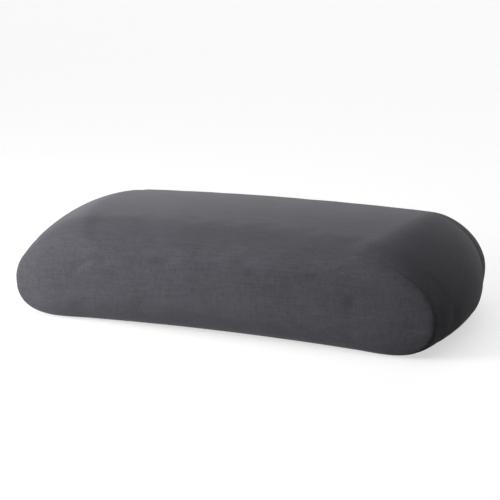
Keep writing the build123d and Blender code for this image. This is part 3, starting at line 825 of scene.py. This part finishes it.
def make_camera():
    """The camera of the main view."""
    around, above = radians(CAMERA_AROUND), radians(CAMERA_ABOVE)
    back = Vector((sin(around) * cos(above), -cos(around) * cos(above), sin(above)))
    data = bpy.data.cameras.new("camera")
    data.lens = CAMERA_LENS
    data.clip_end = CAMERA_REACH
    camera = add_object("camera", data)
    aim = (-back).to_track_quat("-Z", "Y").to_matrix()
    aim = aim @ Matrix.Rotation(radians(CAMERA_TILT_UP), 3, "X")
    camera.matrix_world = Matrix.Translation(CAMERA_TARGET + back * CAMERA_DISTANCE) @ aim.to_4x4()
    bpy.context.scene.camera = camera


def soft_light(name, direction, spread, strength):
    """A soft light that shines along a direction all over the studio."""
    data = bpy.data.lights.new(name, "SUN")
    data.angle = radians(spread)
    data.energy = strength
    light = add_object(name, data)
    light.matrix_world = Vector(direction).to_track_quat("-Z", "Y").to_matrix().to_4x4()


def area_light(name, place, size, power, target):
    """A soft square light that faces a point."""
    data = bpy.data.lights.new(name, "AREA")
    data.size = size
    data.energy = power
    light = add_object(name, data)
    aim = (Vector(target) - Vector(place)).to_track_quat("-Z", "Y").to_matrix().to_4x4()
    light.matrix_world = Matrix.Translation(place) @ aim


make_camera()
soft_light("top_light", direction=(0.1, 0.35, -1.0), spread=90, strength=1.70)
soft_light("back_light", direction=(0.25, -1.0, -0.30), spread=60, strength=1.4)
area_light("low_light", place=(-0.74, -0.70, 0.20), size=0.6, power=21.5, target=(-0.12, 0, 0.05))

world = bpy.data.worlds.new("studio")
bpy.context.scene.world = world
world.use_nodes = True
background = world.node_tree.nodes["Background"]
background.inputs["Color"].default_value = (1, 1, 1, 1)
background.inputs["Strength"].default_value = WORLD_STRENGTH
bpy.context.scene.view_settings.view_transform = "Standard"


def plain_material(name, color, glow=0.0):
    """An even matt paint, which may glow."""
    material = bpy.data.materials.new(name)
    material.use_nodes = True
    shader = material.node_tree.nodes["Principled BSDF"]
    shader.inputs["Base Color"].default_value = color
    shader.inputs["Roughness"].default_value = 0.9
    shader.inputs["Emission Color"].default_value = (1, 1, 1, 1)
    shader.inputs["Emission Strength"].default_value = glow
    return material


def make_stage():
    """A large plain floor, and a white wall far round it, which glow without lighting the pad."""
    half = STAGE_HALF
    corners = [(-half, -half, 0), (half, -half, 0), (half, half, 0), (-half, half, 0)]
    floor = new_object("floor", corners, [(0, 1, 2, 3)])
    floor_color = (FLOOR_GREY, FLOOR_GREY, FLOOR_GREY, 1)
    floor.data.materials.append(plain_material("floor_paint", floor_color, glow=FLOOR_GLOW))
    floor.visible_diffuse = False
    turns = [2 * pi * side / WALL_SIDES for side in range(WALL_SIDES)]
    ring = [(half * cos(turn), half * sin(turn)) for turn in turns]
    wall_points = [(x, y, z) for z in (WALL_FOOT, half) for x, y in ring]
    wall = new_object("wall", wall_points, grid_faces(2, WALL_SIDES, closed=True))
    wall.data.materials.append(plain_material("wall_paint", (0, 0, 0, 1), glow=WALL_GLOW))
    wall.visible_diffuse = False
    wall.visible_glossy = False
    wall.visible_shadow = False


make_stage()

# ---- Pieces -------------------------------------------------------------------------------------
front_panel = make_front_panel()
wrap_band = make_wrap_band()
base_panel = make_base_panel()
back_upper = make_back_panel("back_upper_panel", 0)
back_lower = make_back_panel("back_lower_panel", pi)
foam = make_foam_block()
front_stitches = seam_stitches("front_seam_stitches", FRONT_SEAM)
back_stitches = seam_stitches("back_seam_stitches", BACK_SEAM)
base_stitches = make_base_stitches()
back_end_stitches = make_back_end_stitches()
topstitches, bar_tacks = make_topstitches()
coil_upper = make_coil("upper", 1)
coil_lower = make_coil("lower", -1)


# ---- Materials ----------------------------------------------------------------------------------
KNIT_PITCH = 0.0014
KNIT_COLOR = (0.0560, 0.0542, 0.0630)
BASE_COLOR = (0.045, 0.044, 0.050)
THREAD_COLOR = (0.048, 0.047, 0.054)
TAPE_COLOR = (0.026, 0.026, 0.030)
NYLON_COLOR = (0.022, 0.022, 0.026)
METAL_COLOR = (0.040, 0.040, 0.043)
RUBBED_COLOR = (0.16, 0.155, 0.15)
FOAM_COLOR = (0.74, 0.70, 0.58)
SHEEN_TINT = (0.93, 0.91, 1.0, 1)
WAVE_LENGTH = 2 * pi / 20  # pitch of the wave texture at a scale of 1


class Paint:
    """A node material under construction, with its shader and the object's own coordinates."""

    def __init__(self, name, roughness, metallic=0.0, specular=0.5, sheen=0.0, sheen_roughness=0.5):
        self.material = bpy.data.materials.new(name)
        self.material.use_nodes = True
        self.tree = self.material.node_tree
        self.shader = self.tree.nodes["Principled BSDF"]
        self.shader.inputs["Roughness"].default_value = roughness
        self.shader.inputs["Metallic"].default_value = metallic
        self.shader.inputs["Specular IOR Level"].default_value = specular
        self.shader.inputs["Sheen Weight"].default_value = sheen
        self.shader.inputs["Sheen Roughness"].default_value = sheen_roughness
        self.shader.inputs["Sheen Tint"].default_value = SHEEN_TINT
        self.place = self.tree.nodes.new("ShaderNodeTexCoord").outputs["Object"]

    def link(self, source, target):
        """Join an output to an input."""
        self.tree.links.new(source, target)

    def stretched(self, scale):
        """The object's coordinates, scaled along each axis."""
        mapping = self.tree.nodes.new("ShaderNodeMapping")
        mapping.inputs["Scale"].default_value = scale
        self.link(self.place, mapping.inputs["Vector"])
        return mapping.outputs["Vector"]

    def noise(self, scale, detail=2.0, stretch=(1, 1, 1)):
        """Noise of a scale in cycles per metre."""
        node = self.tree.nodes.new("ShaderNodeTexNoise")
        node.inputs["Scale"].default_value = scale
        node.inputs["Detail"].default_value = detail
        self.link(self.stretched(stretch), node.inputs["Vector"])
        return node.outputs["Fac"]

    def wave(self, pitch, direction, distortion=0.0):
        """Ribs of a pitch in metres."""
        node = self.tree.nodes.new("ShaderNodeTexWave")
        node.bands_direction = direction
        node.inputs["Scale"].default_value = WAVE_LENGTH / pitch
        node.inputs["Distortion"].default_value = distortion
        self.link(self.place, node.inputs["Vector"])
        return node.outputs["Fac"]

    def mix(self, parts):
        """The weighted sum of some outputs, given as (output, weight)."""
        total = None
        for output, weight in parts:
            node = self.tree.nodes.new("ShaderNodeMath")
            node.operation = "MULTIPLY_ADD"
            node.inputs[1].default_value = weight
            node.inputs[2].default_value = 0.0
            self.link(output, node.inputs[0])
            if total is not None:
                self.link(total, node.inputs[2])
            total = node.outputs["Value"]
        return total

    def ramp(self, value, stops):
        """A colour or grey for a value, from (position, colour) stops."""
        node = self.tree.nodes.new("ShaderNodeValToRGB")
        elements = node.color_ramp.elements
        for place, (position, color) in enumerate(stops):
            element = elements[place] if place < 2 else elements.new(position)
            element.position = position
            element.color = (*color, 1)
        self.link(value, node.inputs["Fac"])
        return node.outputs["Color"]

    def color(self, value, stops):
        """Colour the surface by a value."""
        self.link(self.ramp(value, stops), self.shader.inputs["Base Color"])

    def roughness(self, value, low, high):
        """Vary the roughness by a value."""
        self.link(self.ramp(value, ((0, (low,) * 3), (1, (high,) * 3))), self.shader.inputs["Roughness"])

    def bump(self, height, distance, strength=1.0):
        """Raise the surface by a height of 0 to 1, times a distance in metres."""
        node = self.tree.nodes.new("ShaderNodeBump")
        node.inputs["Distance"].default_value = distance
        node.inputs["Strength"].default_value = strength
        self.link(height, node.inputs["Height"])
        self.link(node.outputs["Normal"], self.shader.inputs["Normal"])


def shades(color, low, high, ends=(0.3, 0.7)):
    """Ramp stops from a darker to a lighter shade of a colour."""
    return ((ends[0], tuple(c * low for c in color)), (ends[1], tuple(c * high for c in color)))


def knit_material(name, color, nap):
    """Brushed fine knit: wales and courses under a nap, mottled, with faint streaks along the pad."""
    paint = Paint(name, roughness=0.95, specular=0.15, sheen=0.16 * nap, sheen_roughness=0.45)
    mottle = paint.noise(22, 3)
    streak = paint.noise(520, 2, (0.12, 1, 1))
    cross = paint.noise(480, 2, (1, 1, 0.25))
    grain = paint.noise(1300, 2)
    tone = paint.mix(((mottle, 0.22), (streak, 0.22), (cross, 0.20), (grain, 0.36)))
    paint.color(tone, shades(color, 0.75, 1.25, (0.36, 0.64)))
    ribs = (
        (paint.wave(KNIT_PITCH, "X", 1.2), 0.12),
        (paint.wave(KNIT_PITCH, "Y", 1.2), 0.10),
        (paint.wave(KNIT_PITCH * 0.8, "Z", 1.2), 0.12),
    )
    paint.bump(paint.mix((*ribs, (grain, 0.5), (streak, 0.15))), 0.0006, 0.5 * nap)
    return paint.material


def thread_material():
    """Spun polyester thread, with the twist of its plies."""
    paint = Paint("thread", roughness=0.6, specular=0.3, sheen=0.3)
    ply = paint.wave(0.0007, "DIAGONAL", 0.6)
    paint.color(paint.mix(((ply, 0.5), (paint.noise(900), 0.5))), shades(THREAD_COLOR, 0.7, 1.3))
    paint.bump(ply, 0.00006)
    return paint.material


def tape_material():
    """Woven twill tape."""
    paint = Paint("zip_tape", roughness=0.8, specular=0.25, sheen=0.2)
    twill = paint.wave(0.0008, "DIAGONAL", 0.3)
    warp = paint.wave(0.0006, "Z", 0.5)
    weave = paint.mix(((twill, 0.6), (warp, 0.3), (paint.noise(1500), 0.2)))
    paint.color(weave, shades(TAPE_COLOR, 0.6, 1.4))
    paint.bump(weave, 0.0001)
    return paint.material


def nylon_material():
    """Drawn nylon filament, a little shiny."""
    paint = Paint("zip_nylon", roughness=0.35, specular=0.5)
    drawn = paint.noise(700, 2, (1, 0.2, 0.2))
    paint.color(drawn, shades(NYLON_COLOR, 0.75, 1.3))
    paint.roughness(drawn, 0.28, 0.45)
    paint.bump(drawn, 0.00004)
    return paint.material


def metal_material():
    """Satin black coating on a zinc casting, rubbed brighter in patches."""
    paint = Paint("coated_zinc", roughness=0.4, metallic=0.75, specular=0.5)
    cast = paint.noise(900, 3)
    rubbed = paint.noise(140, 4)
    paint.color(rubbed, ((0.45, METAL_COLOR), (0.72, RUBBED_COLOR)))
    paint.roughness(paint.mix(((cast, 0.5), (rubbed, 0.5))), 0.30, 0.52)
    paint.bump(cast, 0.00005)
    return paint.material


def foam_material():
    """Open-cell polyurethane foam."""
    paint = Paint("foam", roughness=0.9, specular=0.2)
    cells = paint.tree.nodes.new("ShaderNodeTexVoronoi")
    cells.inputs["Scale"].default_value = 700
    paint.link(paint.place, cells.inputs["Vector"])
    pores = paint.mix(((cells.outputs["Distance"], 0.8), (paint.noise(60), 0.3)))
    paint.color(pores, shades(FOAM_COLOR, 0.8, 1.08))
    paint.bump(pores, 0.0006)
    return paint.material


knit = knit_material("knit", KNIT_COLOR, 1.0)
base_knit = knit_material("base_knit", BASE_COLOR, 0.6)
thread = thread_material()
tape = tape_material()
nylon = nylon_material()
metal = metal_material()
foam_cells = foam_material()

# piece, material, record slot, the CAD nodes that it stands for
PIECES = (
    (front_panel, knit, "knit_cover", ["cover_front_panel"]),
    (wrap_band, knit, "knit_cover", ["cover_wrap_band"]),
    (base_panel, base_knit, "base_knit", ["cover_base_panel"]),
    (back_upper, knit, "knit_cover", ["cover_back_upper_panel"]),
    (back_lower, knit, "knit_cover", ["cover_back_lower_panel"]),
    (foam, foam_cells, "foam", ["foam_core"]),
    (front_stitches, thread, "thread", ["front_seam_thread"]),
    (back_stitches, thread, "thread", ["back_seam_thread"]),
    (base_stitches, thread, "thread", ["base_seam_threads"]),
    (back_end_stitches, thread, "thread", ["back_end_seam_threads"]),
    (topstitches, thread, "thread", ["zip_topstitching"]),
    (bar_tacks, thread, "thread", []),
    (coil_upper, nylon, "zip_coil", ["zip_coil_upper"]),
    (coil_lower, nylon, "zip_coil", ["zip_coil_lower"]),
)
for piece, material, slot, nodes in PIECES:
    piece.data.materials.append(material)
    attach(piece, "pad")
    if nodes:
        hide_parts(*nodes)

# CAD nodes that stay as they are
KEPT = {
    "zip_tape_upper": tape,
    "zip_tape_lower": tape,
    "zip_top_stops": nylon,
    "zip_bottom_stop": metal,
    "zip_slider": metal,
    "zip_pull_tab": metal,
}
for node, material in KEPT.items():
    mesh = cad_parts[node].data
    if not mesh.materials:
        mesh.materials.append(material)
    for place in range(len(mesh.materials)):
        mesh.materials[place] = material
